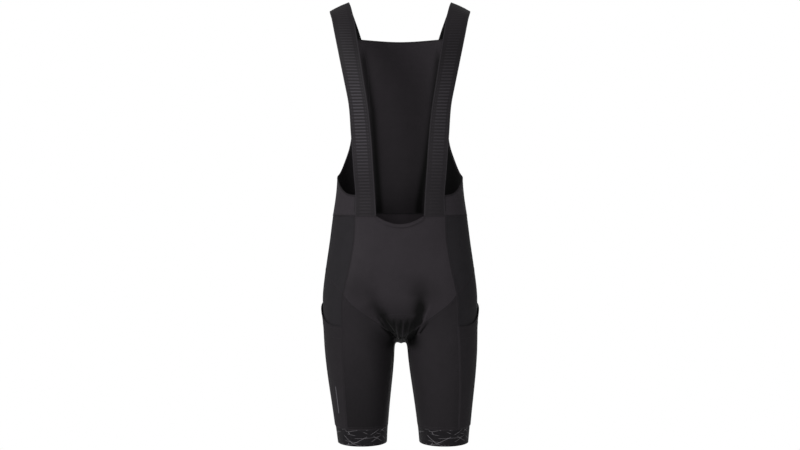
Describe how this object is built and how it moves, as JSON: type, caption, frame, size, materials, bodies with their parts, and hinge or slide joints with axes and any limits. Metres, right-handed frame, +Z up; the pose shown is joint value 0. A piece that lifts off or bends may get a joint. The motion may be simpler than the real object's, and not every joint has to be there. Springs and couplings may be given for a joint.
{
  "type": "cargo bib shorts",
  "caption": "Knee-length bib shorts, open and filled out as when worn: ribbed straps, mesh back bib, thigh pockets, elastic hem bands and a padded seat insert.",
  "frame": {"origin": "midway between the two places where the straps rest on the shoulders", "axes": "+Z up the wearer's body, +Y towards the wearer's back, so the front of the garment faces -Y"},
  "size_m": [0.3396, 0.2403, 0.9362],
  "materials": {
    "front_jersey": "matte knit jersey with a fine rib",
    "dark_side_knit": "dull dark compression knit",
    "leg_jersey": "matte knit jersey",
    "bib_mesh": "open warp knit mesh",
    "strap_elastic": "ribbed woven elastic",
    "hem_elastic": "wide knitted elastic with a light grey line pattern",
    "pad_foam": "brushed knit over foam"
  },
  "bodies": {
    "root": {"front_panel": "front_jersey", "neck_binding": "front_jersey", "seat_panel": "front_jersey", "side_panel_left": "dark_side_knit", "side_panel_right": "dark_side_knit", "thigh_insert_left": "dark_side_knit", "thigh_insert_right": "dark_side_knit", "cargo_pocket_left": "leg_jersey", "cargo_pocket_right": "leg_jersey", "leg_front_left": "leg_jersey", "leg_front_right": "leg_jersey", "leg_back_left": "leg_jersey", "leg_back_right": "leg_jersey", "gripper_left": "hem_elastic", "gripper_right": "hem_elastic", "bib_back": "bib_mesh", "strap_left": "strap_elastic", "strap_right": "strap_elastic", "seat_pad": "pad_foam"}
  },
  "joints": []
}
